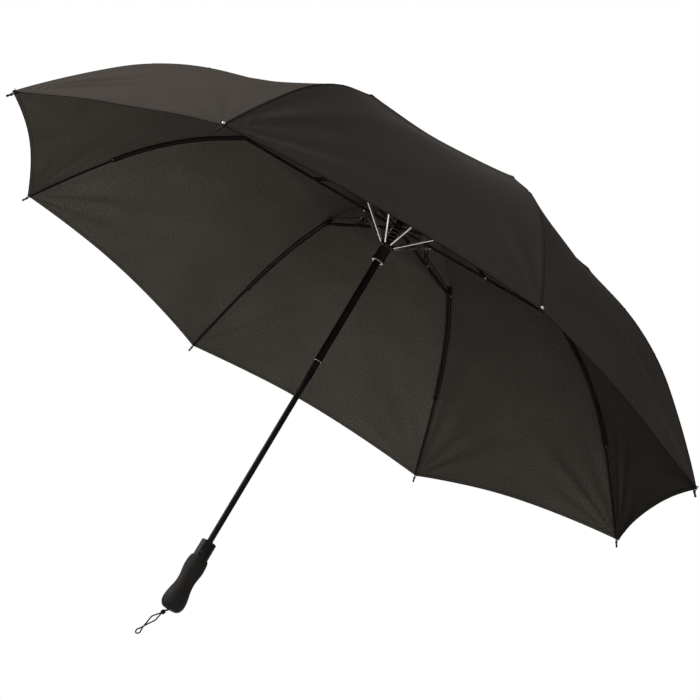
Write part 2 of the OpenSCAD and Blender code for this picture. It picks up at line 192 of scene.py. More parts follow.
def colour(hex_code):
    """A linear colour from an sRGB hex value."""
    parts = [int(hex_code[i : i + 2], 16) / 255 for i in (1, 3, 5)]
    return (*[c / 12.92 if c <= 0.04045 else ((c + 0.055) / 1.055) ** 2.4 for c in parts], 1.0)


def bare_tree(owner):
    """A new material or world with an empty node tree."""
    owner.use_nodes = True
    owner.node_tree.nodes.clear()
    return owner


def add(owner, kind, settings=None, links=None, stops=None, **choices):
    """Adds a node with its choices, socket settings, links and ramp stops; gives its outputs."""
    node = owner.node_tree.nodes.new("ShaderNode" + kind)
    for key, value in choices.items():
        setattr(node, key, value)
    for key, value in (settings or {}).items():
        node.inputs[key].default_value = value
    for key, source in (links or {}).items():
        owner.node_tree.links.new(source, node.inputs[key])
    if stops:
        for element, (place, tone) in zip(node.color_ramp.elements, stops):
            element.position = place
            element.color = tone
    return node.outputs


# a wave texture of scale 1 turns through 20 radians in a metre
WAVE_RADIANS = 20
# where the sewn rows lie, across from the seam and along the cloth, which is 727.6 mm long on
# its creases, and where the hem's turned edge begins
SEAM_ROW, HEM_ROW, HEM_EDGE = 2.6 * MM, 722.1 * MM, 726.3 * MM


def pongee(name, base, light, sheen, speckle, painted_seam_shade):
    """Pongee polyester: a fine plain weave, dyed black.

    The eye sees a matt black-brown with a fine speckle of threads, a faint sheen at grazing
    angles, sewn lines along the ribs and the hem, and painted shade beside the seams and in
    the hem's fold.
    """
    made = bare_tree(bpy.data.materials.new(name))
    uv = add(made, "UVMap", uv_map="cloth")["UV"]

    # real threads are 0.2 mm apart; drawn 1.5 mm apart, as coarse as they need to show
    per_metre = 2 * math.pi / WAVE_RADIANS / (1.5 * MM)
    threads = {"Scale": per_metre, "Distortion": 1.2, "Detail": 2.0}
    warp = add(made, "TexWave", threads, {"Vector": uv}, bands_direction="X")["Fac"]
    weft = add(made, "TexWave", threads, {"Vector": uv}, bands_direction="Y")["Fac"]
    weave = add(made, "Math", links={0: warp, 1: weft}, operation="MULTIPLY")[0]

    # thick and thin threads, in flecks about 2 mm across
    grain = {"Scale": 460.0, "Detail": 2.0, "Roughness": 0.6}
    slub = add(made, "TexNoise", grain, {"Vector": uv})["Fac"]
    flecks = {"From Min": 0.36, "From Max": 0.64, "To Max": speckle}
    fleck = add(made, "MapRange", flecks, {"Value": slub})["Result"]
    # the weave shows most in the flecks
    relief = add(made, "Math", {2: 0.25}, {0: weave, 1: fleck}, operation="MULTIPLY_ADD")[0]
    mixed = add(made, "Math", links={0: fleck, 1: relief}, operation="ADD")[0]
    tones = [(0.2, colour(base)), (1.0, colour(light))]
    tone = add(made, "ValToRGB", links={"Fac": mixed}, stops=tones)["Color"]

    # patches about 110 mm across, a little darker and rougher
    cloudy = add(made, "TexNoise", {"Scale": 9.0, "Detail": 4.0}, {"Vector": uv})["Fac"]
    darker_patch = {"From Min": 0.3, "From Max": 0.7, "To Min": 0.0, "To Max": 0.3}
    patch = add(made, "MapRange", darker_patch, {"Value": cloudy})["Result"]
    rougher_patch = {"From Min": 0.3, "From Max": 0.7, "To Min": 0.5, "To Max": 0.66}
    rough = add(made, "MapRange", rougher_patch, {"Value": cloudy})["Result"]
    base_colour = {"Color2": colour(base)}
    shade = add(made, "MixRGB", base_colour, {"Fac": patch, "Color1": tone})["Color"]

    # lockstitch 3 mm long: a row on each side of a seam and one along the hem. The real thread
    # is 0.3 mm wide; drawn 0.9 mm wide, as coarse as it needs to show
    stitch_l, thread_half = 3 * MM, 0.45 * MM
    place = add(made, "SeparateXYZ", links={"Vector": uv})
    beside = add(made, "Math", links={0: place["X"]}, operation="ABSOLUTE")[0]
    rows = []
    for across, at, run in ((beside, SEAM_ROW, place["Y"]), (place["Y"], HEM_ROW, place["X"])):
        row = add(made, "Math", {1: at, 2: thread_half}, {0: across}, operation="COMPARE")[0]
        turn = add(made, "Math", {1: 2 * math.pi / stitch_l}, {0: run}, operation="MULTIPLY")[0]
        wave = add(made, "Math", links={0: turn}, operation="SINE")[0]
        # the thread shows over two thirds of each stitch
        dash = add(made, "Math", {1: -0.55}, {0: wave}, operation="GREATER_THAN")[0]
        rows.append(add(made, "Math", links={0: row, 1: dash}, operation="MULTIPLY")[0])
    sewn = add(made, "Math", links={0: rows[0], 1: rows[1]}, operation="MAXIMUM")[0]

    # painted shade: the hem's turned edge is darkened as a painted shade line in its fold, and the
    # cloth beside a seam as painted shade beside the seam's ridge
    edge = add(made, "Math", {1: HEM_EDGE}, {0: place["Y"]}, operation="GREATER_THAN")[0]
    painted_hem_shade = add(made, "Math", {1: 0.85}, {0: edge}, operation="MULTIPLY")[0]
    near_seam = {"From Min": 1.0 * MM, "From Max": 3.6 * MM, "To Min": painted_seam_shade, "To Max": 0.0}
    painted_seam_shade_mask = add(made, "MapRange", near_seam, {"Value": beside})["Result"]
    dark = add(made, "Math", links={0: painted_hem_shade, 1: painted_seam_shade_mask}, operation="MAXIMUM")[0]
    # the painted shade colour, for the hem's fold and beside the seams
    painted_shade_colour, thread_colour = {"Color2": colour("#0d0c0b")}, {"Color2": colour("#0b0a0a")}
    shade = add(made, "MixRGB", painted_shade_colour, {"Fac": dark, "Color1": shade})["Color"]
    shade = add(made, "MixRGB", thread_colour, {"Fac": sewn, "Color1": shade})["Color"]

    weave_depth = {"Strength": 0.25, "Distance": 0.15 * MM}
    bump = add(made, "Bump", weave_depth, {"Height": relief})["Normal"]
    thread_depth = {"Strength": 0.8, "Distance": 0.3 * MM}
    bump = add(made, "Bump", thread_depth, {"Height": sewn, "Normal": bump})["Normal"]
    gloss = {
        "IOR": 1.5,
        "Specular IOR Level": 0.0,
        "Sheen Weight": sheen,
        "Sheen Roughness": 0.45,
        "Sheen Tint": colour("#a8a29b"),
    }
    looks = {"Base Color": shade, "Roughness": rough, "Normal": bump}
    shader = add(made, "BsdfPrincipled", gloss, looks)["BSDF"]
    add(made, "OutputMaterial", links={"Surface": shader})
    return made


def plain(
    name, light, dark, roughness, metallic=0.0,
    grain=900.0, depth=0.04, specular=0.06, stretch=(1, 1, 1),
):
    """A solid finish in a mottled tone, with a grain of so many bumps to a metre, depth mm deep."""
    made = bare_tree(bpy.data.materials.new(name))
    place = add(made, "TexCoord")["Object"]
    turned = add(made, "Mapping", {"Scale": stretch}, {"Vector": place})["Vector"]
    fine_grain = {"Scale": grain, "Detail": 3.0, "Roughness": 0.6}
    fine = add(made, "TexNoise", fine_grain, {"Vector": turned})["Fac"]
    # mottling about 20 mm across
    broad = add(made, "TexNoise", {"Scale": 45.0, "Detail": 4.0}, {"Vector": place})["Fac"]
    part = add(made, "Math", {1: 0.55}, {0: fine}, operation="MULTIPLY")[0]
    mixed = add(made, "Math", links={0: part, 1: broad}, operation="ADD")[0]
    tones = [(0.45, colour(dark)), (1.0, colour(light))]
    tone = add(made, "ValToRGB", links={"Fac": mixed}, stops=tones)["Color"]
    spread = {
        "From Min": 0.35,
        "From Max": 0.65,
        "To Min": roughness * 0.85,
        "To Max": min(1.0, roughness * 1.15),
    }
    rough = add(made, "MapRange", spread, {"Value": broad})["Result"]
    depths = {"Strength": 0.4, "Distance": depth * MM}
    bump = add(made, "Bump", depths, {"Height": fine})["Normal"]
    gloss = {"Metallic": metallic, "Specular IOR Level": 0.5 if metallic else specular}
    looks = {"Base Color": tone, "Roughness": rough, "Normal": bump}
    shader = add(made, "BsdfPrincipled", gloss, looks)["BSDF"]
    add(made, "OutputMaterial", links={"Surface": shader})
    return made


# the outside is the deeper black; the inside is duller and shows its threads more
outer_cloth = pongee("pongee_polyester_outside", "#23201e", "#36322e", 0.04, 0.35, 0.5)
inner_cloth = pongee("pongee_polyester_inside", "#2b2825", "#4e4a44", 0.05, 0.8, 0.15)
# spun polyester: matt black, with the twist of the thread as its grain
thread_finish = plain("polyester_sewing_thread", "#1d1b1a", "#0f0e0e", 0.6, grain=2500.0)

# acetal, moulded: smooth satin black, a shade paler than the collar
ACETAL = plain("moulded_acetal", "#1c1a19", "#110f0f", 0.4)
# rolled steel channel, lacquered: satin black with a fine grain of lacquer
LACQUER = plain("black_lacquered_rib_steel", "#1d1b1a", "#110f0f", 0.36, grain=700.0)
ALONG = (1, 1, 0.1)  # draws the grain out along the shaft, as a drawn tube's is

FINISHES = {
    # EVA foam, moulded: soft matt black-brown, with the pores of the foam as an open grain
    "grip": plain("moulded_eva_foam", "#191715", "#0c0b0a", 0.78, grain=700.0, depth=0.12),
    # ABS, moulded: the collar is the darkest piece, smooth and satin
    "handle_core": plain("moulded_abs", "#0d0c0b", "#070606", 0.42, specular=0.04),
    # the button is a shade paler than its collar, so that its rim shows
    "button": plain("moulded_abs_button", "#1c1917", "#110f0e", 0.4, specular=0.03),
    # nylon, braided: matt black, with the braid as a fine grain
    "wrist_strap": plain(
        "braided_nylon_cord", "#191716", "#0a0909", 0.7, grain=1600.0, specular=0.02
    ),
    # steel tube, enamelled: smooth near-black, with a thin soft highlight along it
    "lower_tube": plain(
        "black_enamelled_steel", "#0e0d0c", "#070707", 0.32,
        grain=500.0, specular=0.02, stretch=ALONG,
    ),
    # the outer tube is glossier, since the runner polishes it
    "upper_tube": plain(
        "gloss_black_enamelled_steel", "#0f0e0d", "#080707", 0.26,
        grain=500.0, specular=0.03, stretch=ALONG,
    ),
    "notch": ACETAL,
    "stretcher_hub": ACETAL,
    # the runner is handled and slides, so it is a little shinier than the other acetal
    "runner": plain("moulded_acetal_runner", "#1a1817", "#0f0e0e", 0.34),
    # ABS, moulded: satin black, the same for the ferrule and the tip caps
    "ferrule": plain("moulded_abs_ferrule", "#161514", "#0d0c0c", 0.38),
    # music wire, blued: a dark grey metal that catches small highlights
    "runner_spring": plain("blued_spring_steel", "#3a3733", "#1f1d1b", 0.3, metallic=1.0),
    "top_rib": LACQUER,
    "stretcher": LACQUER,
    "outer_rib": LACQUER,
    # glass fibre, pultruded: dull black with a fine grain
    "rib_rod": plain(
        "pultruded_glass_fibre", "#1a1817", "#0f0e0e", 0.6, grain=1200.0, specular=0.02
    ),
    # spring wire, lacquered: thin satin black
    "tie_rod": plain("black_lacquered_wire", "#1d1b1a", "#110f0f", 0.35),
    # steel, bright zinc plated: pale grey metal, the brightest of the long pieces
    "strut": plain("zinc_plated_steel", "#b3b1ac", "#8b8984", 0.32, metallic=1.0, grain=1200.0),
}
# rivet steel, nickel and brass: small warm highlights where the links and the cloth are fixed
rivet_finish = plain("bright_rivet_steel", "#b5b1a8", "#8f8b84", 0.32, metallic=1.0)
dull_finish = plain("dulled_rivet_steel", "#6d6962", "#4b4842", 0.4, metallic=1.0)
stud_finish = plain("satin_nickel_stud", "#98948d", "#6d6962", 0.4, metallic=1.0)
brass_finish = plain("brass_catch", "#b58a3c", "#7d5d26", 0.35, metallic=1.0)

for name, node in nodes.items():
    kind = name.rstrip("0123456789").rstrip("_")
    used = FINISHES.get(name) or FINISHES.get(kind)
    if used:
        node.data.materials.clear()
        node.data.materials.append(used)

# ---- Wrist strap: a cord in a twisted loop, with a knot at the grip's end ----

strap_d = 2.2 * MM
# the route's points from the part's source, in mm
strap_route = [
    (1, 0.7, -38), (1, 0.8, -42.3), (0.1, 1.7, -46.6), (-3.2, 3.6, -49.2),
    (-4.5, 5.2, -52.9), (-5.2, 7, -56.8), (-5.5, 8.2, -61), (-6.1, 9, -65.3),
    (-7, 9.5, -69.6), (-9.2, 10.1, -73.5), (-11.5, 11.1, -77.1), (-13.5, 12.8, -80.7),
    (-15.2, 14.7, -84.2), (-16.8, 16, -87.9), (-19.2, 16.8, -91.7), (-21.5, 18.4, -95.1),
    (-20.9, 20.3, -98.6), (-18.2, 22.6, -100.1), (-15, 23.9, -98.9), (-13.1, 23.4, -95.6),
    (-13.9, 22.1, -91.1), (-14.6, 20, -87), (-14.5, 18.2, -82.9), (-14.2, 17.2, -78.7),
    (-14.2, 15.7, -74.5), (-14.2, 13.7, -70.5), (-14, 11.2, -66.8), (-12.3, 8.4, -63.7),
    (-10.2, 6.1, -60.5), (-7.6, 4, -57.3), (-5.4, 2.5, -53.8), (-3.6, 0.8, -50.2),
    (-1.3, -0.9, -46.4), (-1, -0.7, -42.3), (-1, -0.7, -38),
]


def smooth_line(points, per_span=6):
    """A Catmull-Rom line through points, as an array."""
    p = np.array(points, float)
    p = np.vstack([2 * p[0] - p[1], p, 2 * p[-1] - p[-2]])
    t = np.linspace(0, 1, per_span, endpoint=False)[:, None]
    spans = []
    for a, b, c, d in zip(p[:-3], p[1:-2], p[2:-1], p[3:]):
        square, cube = 2 * a - 5 * b + 4 * c - d, 3 * b - a - 3 * c + d
        spans.append(0.5 * (2 * b + (c - a) * t + square * t**2 + cube * t**3))
    return np.vstack(spans + [p[-2:-1]])


def add_cord(bm, points, radius, sides, closed=False):
    """Adds a round cord along points to a bmesh, with UV round and along it in metres."""
    points = [Vector(p) for p in points]
    count = len(points)
    uv = bm.loops.layers.uv.verify()
    angles = [2 * math.pi * n / sides for n in range(sides)]
    side = (points[1] - points[0]).normalized().orthogonal().normalized()
    rings, runs, run = [], [], 0.0
    for i, point in enumerate(points):
        ahead = points[(i + 1) % count] if closed else points[min(i + 1, count - 1)]
        behind = points[i - 1] if closed or i else points[0]
        heading = (ahead - behind).normalized()
        side = (side - heading * side.dot(heading)).normalized()
        other = heading.cross(side)
        run += (point - points[i - 1]).length if i else 0
        runs.append(run)
        ring = [point + radius * (math.cos(a) * side + math.sin(a) * other) for a in angles]
        rings.append([bm.verts.new(corner) for corner in ring])
    spans = list(zip(range(count - 1), range(1, count)))
    shift = 0
    if closed:
        # a closed cord's last ring may have turned, so it is joined where it meets the first
        spans.append((count - 1, 0))
        last = rings[-1][0].co
        shift = min(range(sides), key=lambda n: (last - rings[0][n].co).length)
    around = 2 * math.pi * radius / sides
    for i, j in spans:
        low, high = rings[i], rings[j]
        low_run, high_run = runs[i], runs[j] if j > i else run
        turn = shift if j < i else 0
        for n in range(sides):
            across = [low[n], low[(n + 1) % sides]]
            across += [high[(n + 1 + turn) % sides], high[(n + turn) % sides]]
            face = bm.faces.new(across)
            places = [(n, low_run), (n + 1, low_run), (n + 1, high_run), (n, high_run)]
            for corner, (step, along) in zip(face.loops, places):
                corner[uv].uv = (step * around, along)
    if not closed:
        bm.faces.new(list(reversed(rings[0])))
        bm.faces.new(rings[-1])


def add_turned(bm, profile, matrix, steps=16):
    """Adds a shape turned round Z from a profile of (radius, height) in mm, placed by matrix."""
    points = [bm.verts.new(Vector((r * MM, 0, z * MM))) for r, z in profile]
    edges = [bm.edges.new(pair) for pair in zip(points[:-1], points[1:])]
    bmesh.ops.spin(
        bm,
        geom=points + edges,
        cent=(0, 0, 0),
        axis=(0, 0, 1),
        angle=2 * math.pi,
        steps=steps,
        use_merge=True,
    )
    turned = {v for e in edges for v in e.verts}
    border = list(turned)
    while border:
        next_to = {v for b in border for e in b.link_edges for v in e.verts}
        border = list(next_to - turned)
        turned.update(border)
    bmesh.ops.remove_doubles(bm, verts=list(turned), dist=0.002 * MM)
    turned = [v for v in turned if v.is_valid]
    faces = list({f for v in turned for f in v.link_faces})
    bmesh.ops.recalc_face_normals(bm, faces=faces)
    bmesh.ops.transform(bm, matrix=matrix, verts=turned)


strap_line = smooth_line(strap_route) * MM
bm = bmesh.new()
add_cord(bm, strap_line, strap_d / 2, 14)
strap = piece("strap_cord", bm, FINISHES["wrist_strap"])

# the knot sits where the two strands meet, and lies along them
knot_at = (Vector(strap_route[4]) + Vector(strap_route[-5])) / 2 * MM
knot_to = (Vector(strap_route[6]) + Vector(strap_route[-7])) / 2 * MM
knot_along = (knot_to - knot_at).normalized()
knot_side = knot_along.orthogonal().normalized()
knot_other = knot_along.cross(knot_side)
# eight wraps, out and back, in a barrel round both strands
knot_wraps, knot_r, knot_swell, knot_half = 8, 2.35, 0.35, 2.3
knot_line = []
for t in np.linspace(0, 2 * math.pi * knot_wraps, 24 * knot_wraps, endpoint=False):
    r = (knot_r + knot_swell * math.sin(t / knot_wraps)) * MM
    out = r * (math.cos(t) * knot_side + math.sin(t) * knot_other)
    knot_line.append(knot_at + out + knot_half * math.cos(t / knot_wraps) * MM * knot_along)
bm = bmesh.new()
add_cord(bm, knot_line, 0.95 * MM, 12, closed=True)
knot = piece("strap_knot", bm, FINISHES["wrist_strap"])
for made in (strap, knot):
    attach(made, "handle")
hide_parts("wrist_strap")

# ---- Canopy: one curved sheet, cut at the joints so that each part folds with its link ----

# the frame's own sizes, as the part's source has them, in mm and degrees
notch_z, elbow, socket, tip = 755.0, (330.0, 715.0), (525.0, 587.0), (635.0, 457.0)
heel_l, channel_up, cloth_gap, cloth_t = 16.5, 2.7, 2.0, 0.8
bend_start, bend_turn, rod_turn = 45.0, 23.7, 6.0
# how far the cloth hangs between two ribs, and how far the hem rises there
panel_sag, hem_dip = 9.0, 12.0
HALF_PANEL = math.radians(RIB_TURN / 2)


def along(p, angle, s, up):
    """A place s along a link that starts at p, and up off its back."""
    a = math.radians(angle)
    return (p[0] + s * math.cos(a) - up * math.sin(a), p[1] + s * math.sin(a) + up * math.cos(a))


def heading_of(p, q):
    return math.degrees(math.atan2(q[1] - p[1], q[0] - p[0]))


# the outer rib is straight to bend_start, then a round bend to the socket
half_bend = math.radians(bend_turn / 2)
bend_reach = bend_start * math.cos(half_bend)
elbow_to_socket = math.dist(elbow, socket)
bend_chord = math.sqrt(bend_reach**2 - bend_start**2 + elbow_to_socket**2) - bend_reach
bend_r = bend_chord / (2 * math.sin(half_bend))
chord_up, chord_on = bend_chord * math.sin(half_bend), bend_chord * math.cos(half_bend)
channel_a = heading_of(elbow, socket) + math.degrees(math.atan2(chord_up, bend_start + chord_on))
bend_hub = along(elbow, channel_a, bend_start, -bend_r)
socket_a = channel_a - bend_turn
channel_l = bend_start + bend_r * math.radians(bend_turn)
# the rod is a shallow bow from the socket to the tip; the cloth ends 10 mm before the tip
rod_bend_r = math.dist(socket, tip) / (2 * math.sin(math.radians(rod_turn / 2)))
rod_start_a = heading_of(socket, tip) + rod_turn / 2
rod_end_a = rod_start_a - rod_turn
rod_hub = along(socket, rod_start_a, 0, -rod_bend_r)


def rib_point(s, up):
    """A point of an outer rib, s beyond the elbow and up off the pivots' line."""
    if s < bend_start:
        return along(elbow, channel_a, s, up)
    return along(bend_hub, channel_a - math.degrees((s - bend_start) / bend_r), 0, bend_r + up)


def rod_point(turn, up):
    """A point of a rod, turn degrees round its bow and up off its middle line."""
    return along(rod_hub, rod_start_a - turn, 0, rod_bend_r + up)


def before_tip(length):
    """The turn along the rod at a length before its tip."""
    return rod_turn - math.degrees(length / rod_bend_r)


cloth_turn = before_tip(10)
off = cloth_gap + cloth_t / 2
# the cloth runs from the ferrule's foot over the notch, in a slight arch to the rib's heel,
# where it is 1.4 mm higher, and then over the outer rib and down to the rod by 0.8 mm
hole_r, hole_up, notch_r, notch_up, arch = 7.6, 8.5, 30, 7.8, 6
inner_from = np.array((notch_r, notch_z + notch_up + off))
inner_to = np.array(along(elbow, channel_a, -heel_l - 6, channel_up + off + 1.4))
crease_points = (
    [(hole_r, notch_z + hole_up + off), tuple(inner_from)]
    + [
        tuple(inner_from + share * (inner_to - inner_from) + (0, arch * share * (1 - share)))
        for share in (0.2, 0.42, 0.64, 0.86)
    ]
    + [tuple(inner_to), along(elbow, channel_a, -8, channel_up + off + 0.4)]
    + [rib_point(s, channel_up + off) for s in (8, 35, 65, 95, 125, 155, 185, 210, channel_l - 8)]
    + [
        rod_point(share * cloth_turn, channel_up + off - 0.6 * share)
        for share in (0.08, 0.3, 0.52, 0.76)
    ]
    + [rod_point(cloth_turn, channel_up + off - 0.8)]
)
# the line, its share from 0 to 1 and the distance along it, twelve steps to a point
crease_steps = 12
crease_line = smooth_line(crease_points, crease_steps)
crease_share = np.linspace(0, 1, len(crease_line))
crease_lengths = np.linalg.norm(np.diff(crease_line, axis=0), axis=1)
crease_run = np.concatenate([[0], np.cumsum(crease_lengths)])
crease_l = crease_run[-1]


def crease_at(run):
    """Radius, height and share of the crease at a distance along it."""
    rows = (crease_line[:, 0], crease_line[:, 1], crease_share)
    return tuple(np.interp(run, crease_run, row) for row in rows)


def cloth_flat(run, round_ribs):
    """The taut cloth, before its folds.

    run is the distance along a crease, and round_ribs counts ribs round the canopy, with rib 1
    at 0. The sag pulls the cloth down and inwards, and the dip raises the hem and pulls it in.
    """
    r, z, share = crease_at(run)
    k = np.floor(round_ribs)
    v = round_ribs - k
    start, end, middle = [np.radians(RIB_TURN * x) for x in (k, k + 1, round_ribs)]
    x = r * (np.cos(start) + v * (np.cos(end) - np.cos(start)))
    y = r * (np.sin(start) + v * (np.sin(end) - np.sin(start)))
    bell = 4 * v * (1 - v)
    sag = panel_sag * bell * np.sin(np.pi * share**0.8)
    dip = hem_dip * bell * share**3
    pull = 0.55 * sag + 0.75 * dip
    high = z - 0.83 * sag + 1.1 * dip
    return np.stack([x - pull * np.cos(middle), y - pull * np.sin(middle), high], -1)


# folds that fan out from the tips: their height, how far they reach, how far out they are full,
# and their share at tips 1 to 8, on the side of the next rib and on the side of the one before
FAN_HEIGHT, FAN_REACH, FAN_FULL = 4.6, 165.0, 110
FAN_AFTER = np.array([1.3, 0.6, 0.35, 1.2, 1.0, 0.5, 0.3, 0.45])
FAN_BEFORE = np.array([0.6, 0.7, 0.8, 1.5, 0.6, 0.4, 0.25, 1.3])
# the other relief: puckers along a seam, the seam's ridge, slack cloth and the hem's ripple
PUCKER, RIDGE, SLACK, RIPPLE = 0.25, 0.45, 0.9, 0.3


def cloth_folds(run, round_ribs):
    """How far the cloth stands off its taut shape, in mm."""
    r, _, share = crease_at(run)
    k = np.floor(round_ribs)
    v = round_ribs - k
    width = 2 * r * math.sin(HALF_PANEL)
    out = np.zeros_like(run)
    down = crease_l - run
    for side, rib, hand in ((v, k, 1), (1 - v, k + 1, -1)):
        across = side * width
        reach = np.hypot(across, down) + 1e-6
        spread = np.degrees(np.arctan2(across, down))
        phase = 1.7 * (rib % 8) + 0.9 * hand
        # the fan starts 3 mm off the seam and has its full height 14 mm further out
        near = np.clip(reach / FAN_FULL, 0, 1) * np.exp(-((reach / FAN_REACH) ** 2))
        strength = near * np.clip((across - 3) / 14, 0, 1)
        fan = np.sin(np.radians(spread * (13 + 1.5 * np.sin(phase))) + phase)
        fan = fan * (0.65 + 0.35 * np.sin(np.radians(spread * 6) + 2 * phase))
        share_here = (FAN_AFTER if hand > 0 else FAN_BEFORE)[(np.round(rib) % 8).astype(int)]
        out += FAN_HEIGHT * share_here * strength * fan
        # a pucker every 19 mm, strongest 7 mm off the seam, and the seam's own narrow ridge
        pucker = np.exp(-(((across - 7) / 8) ** 2)) * np.clip((across - 1) / 4, 0, 1)
        shake = np.sin(run / 3.1 + 2.2 * np.sin(run / 41 + phase))
        out += PUCKER * pucker * shake * np.clip(share * 3, 0, 1)
        out += RIDGE * np.exp(-((across / 2.2) ** 4))
    # slack cloth in the middle of the panel, in waves about 380 and 230 mm long
    bell = 4 * v * (1 - v)
    slack = np.sin(run / 61 + 1.3 * k) * np.sin(v * 9.0 + 0.7 * k)
    slack = slack + 0.6 * np.sin(run / 37 + v * 11 + k)
    out += SLACK * slack * bell * np.clip(share * 2.2, 0, 1)
    # a ripple every 27 mm round the hem, within about 14 mm of its edge
    around = v * width
    hem = np.exp(-((down / 14) ** 2)) * np.clip(bell * 4, 0, 1)
    ripple = np.sin(around / 4.3 + 2 * np.sin(around / 31 + k))
    out += RIPPLE * hem * ripple * np.clip(down / 6, 0.3, 1)
    return out


def cloth_normal(surface, run, round_ribs, run_step, turn_step):
    """The outward normals of a surface of (run, round_ribs), kept to each panel's own side."""
    ahead = surface(np.clip(run + run_step, 0, crease_l), round_ribs)
    behind = surface(np.clip(run - run_step, 0, crease_l), round_ribs)
    k = np.floor(round_ribs + 1e-9)
    low = np.clip(round_ribs - turn_step, k, None)
    high = np.minimum(round_ribs + turn_step, k + 1 - 1e-9)
    n = np.cross(ahead - behind, surface(run, high) - surface(run, low))
    return n / (np.linalg.norm(n, axis=-1, keepdims=True) + 1e-12)


def cloth_at(run, round_ribs):
    """Finished cloth: (points in metres, outward normals)."""
    run, round_ribs = np.broadcast_arrays(np.asarray(run, float), np.asarray(round_ribs, float))
    taut_normal = cloth_normal(cloth_flat, run, round_ribs, 2.0, 0.02)

    def folded(a, b):
        return cloth_flat(a, b) + cloth_folds(a, b)[..., None] * taut_normal

    normals = cloth_normal(folded, run, round_ribs, 1.5, 0.006)
    return folded(run, round_ribs) * MM, normals


# the cloth's thickness, how much the turned hem adds, and the hem's width, mm
cloth_thin, hem_extra, hem_w = 0.4, 0.45, 6.4


def cloth_part(name, runs, ribs_round, own_rib=None):
    """A part of the canopy from a grid of distances along and ribs round.

    It has both faces of the cloth, UV in metres from its own rib, and the hem turned in.
    Neighbouring parts share their borders and normals, so that they show as one sheet.
    """
    runs, ribs_round = np.array(runs, float), np.array(ribs_round, float)
    columns, rows = len(ribs_round) - 1, len(runs) - 1
    bm = bmesh.new()
    bmesh.ops.create_grid(bm, x_segments=columns, y_segments=rows, size=1)
    uv = bm.loops.layers.uv.new("cloth")
    bm.verts.ensure_lookup_table()
    place = np.array([v.co for v in bm.verts])
    turn = ribs_round[np.rint((place[:, 0] + 1) / 2 * columns).astype(int)]
    run = runs[np.rint((place[:, 1] + 1) / 2 * rows).astype(int)]
    # a half panel's own border belongs to its own side of the crease
    inside = np.clip(turn, ribs_round.min() + 1e-7, ribs_round.max() - 1e-7)
    points, normals = cloth_at(run, inside)
    for v, p in zip(bm.verts, points):
        v.co = p
    wide = 2 * crease_at(run)[0] * math.sin(HALF_PANEL) * MM
    from_rib = turn - (np.rint(turn) if own_rib is None else own_rib)
    flat = np.stack([from_rib * wide, run * MM], -1)
    thickness = (cloth_thin + hem_extra * (run > crease_l - hem_w)) * MM
    bm.verts.index_update()
    for face in bm.faces:
        for loop in face.loops:
            loop[uv].uv = flat[loop.vert.index]
    bm.normal_update()
    if sum(f.normal.dot(Vector(normals[f.verts[0].index])) for f in bm.faces) < 0:
        bmesh.ops.reverse_faces(bm, faces=bm.faces)
    area = sum(f.calc_area() for f in bm.faces)

    count = len(bm.verts)
    outer = list(bm.faces)
    twin = bmesh.ops.duplicate(bm, geom=bm.verts[:] + bm.edges[:] + outer)
    back = [g for g in twin["geom"] if isinstance(g, bmesh.types.BMFace)]
    bmesh.ops.reverse_faces(bm, faces=back)
    bm.verts.ensure_lookup_table()
    for n in range(count):
        bm.verts[n + count].co = Vector(points[n] - normals[n] * thickness[n])
    for face in back:
        face.material_index = 1
    rims = [e for e in bm.edges if e.is_boundary]
    bmesh.ops.bridge_loops(bm, edges=rims)
    made = piece(name, bm, outer_cloth, inner_cloth)

    # smooth across the borders, with a sharp rim
    mesh = made.data
    vert_of = np.zeros(len(mesh.loops), int)
    mesh.loops.foreach_get("vertex_index", vert_of)
    corner_normals = np.vstack([normals, -normals])[vert_of]
    for polygon in mesh.polygons:
        if polygon.index >= 2 * len(outer):
            for corner in polygon.loop_indices:
                corner_normals[corner] = polygon.normal
    mesh.normals_split_custom_set([tuple(n) for n in corner_normals])
    return made, area


def steps(start, end, size):
    return list(np.linspace(start, end, max(2, round((end - start) / size) + 1)))


def run_at(index):
    """The distance along the crease of the crease's own point at an index."""
    return float(crease_run[crease_steps * index])


# the crown piece ends 22 mm from the middle, within the first steps of the crease
crown_r = 22
first_steps = 40
crown_run = float(np.interp(crown_r, crease_line[:first_steps, 0], crease_run[:first_steps]))
# each band's body, its two ends along the crease and the size of its steps
BANDS = [
    ("top", "top_rib_body", crown_run, run_at(3), 8),
    ("mid", "stretcher_body", run_at(3), run_at(7), 8),
    ("outer", "outer_rib_body", run_at(7), run_at(16), 7),
    ("tip", "rib_rod_body", run_at(16), crease_l, 5),
]
hem_steps = [crease_l - d for d in (10, 8, 6.6, 6.2, 3, 1.2, 0)]

crown, crown_area = cloth_part("canopy_crown", steps(0, crown_run, 4), np.linspace(0, 8, 97))
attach(crown, "upper_shaft")
# across a half panel: close beside the seam, for its ridge, and then even
across_steps = np.concatenate([[0, 0.006, 0.014], np.linspace(0.024, 0.5, 26)])
just_in = 1e-6

for k in RIBS:
    for side, letter in ((1, "a"), (-1, "b")):
        # rib 1 is also the ninth, for the half panel before it
        home = 8 if k == 1 and side < 0 else k - 1
        for band, body, start, end, size in BANDS:
            runs = steps(start, end, size)
            if band == "tip":
                runs = [r for r in runs if r < crease_l - 12] + hem_steps
            turns = np.sort(home + side * across_steps)
            part, area = cloth_part(f"canopy_{band}_{k}{letter}", runs, turns, own_rib=home)
            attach(part, f"{body}_{k}")
            # the direction along its own rib's crease and the reach across the half panel, worked
            # out but not used
            near, _ = cloth_at(np.array([start, end]), np.array([home + side * just_in] * 2))
            far, _ = cloth_at(np.array([end]), np.array([home + side * 0.5 - side * just_in]))
            direction = Vector(near[1] - near[0]).normalized()
            reach = Vector(far[0] - near[1])
            reach -= direction * reach.dot(direction)
            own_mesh(part)

crown_wide = 2 * crown_r * MM
crown_area = min(crown_area, crown_wide**2)
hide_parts("canopy")

# ---- Small fittings: rivet heads, pins, thread, spring and washer ----

hub_p, notch_p = (8.5, 670.0), (10.5, 755.0)
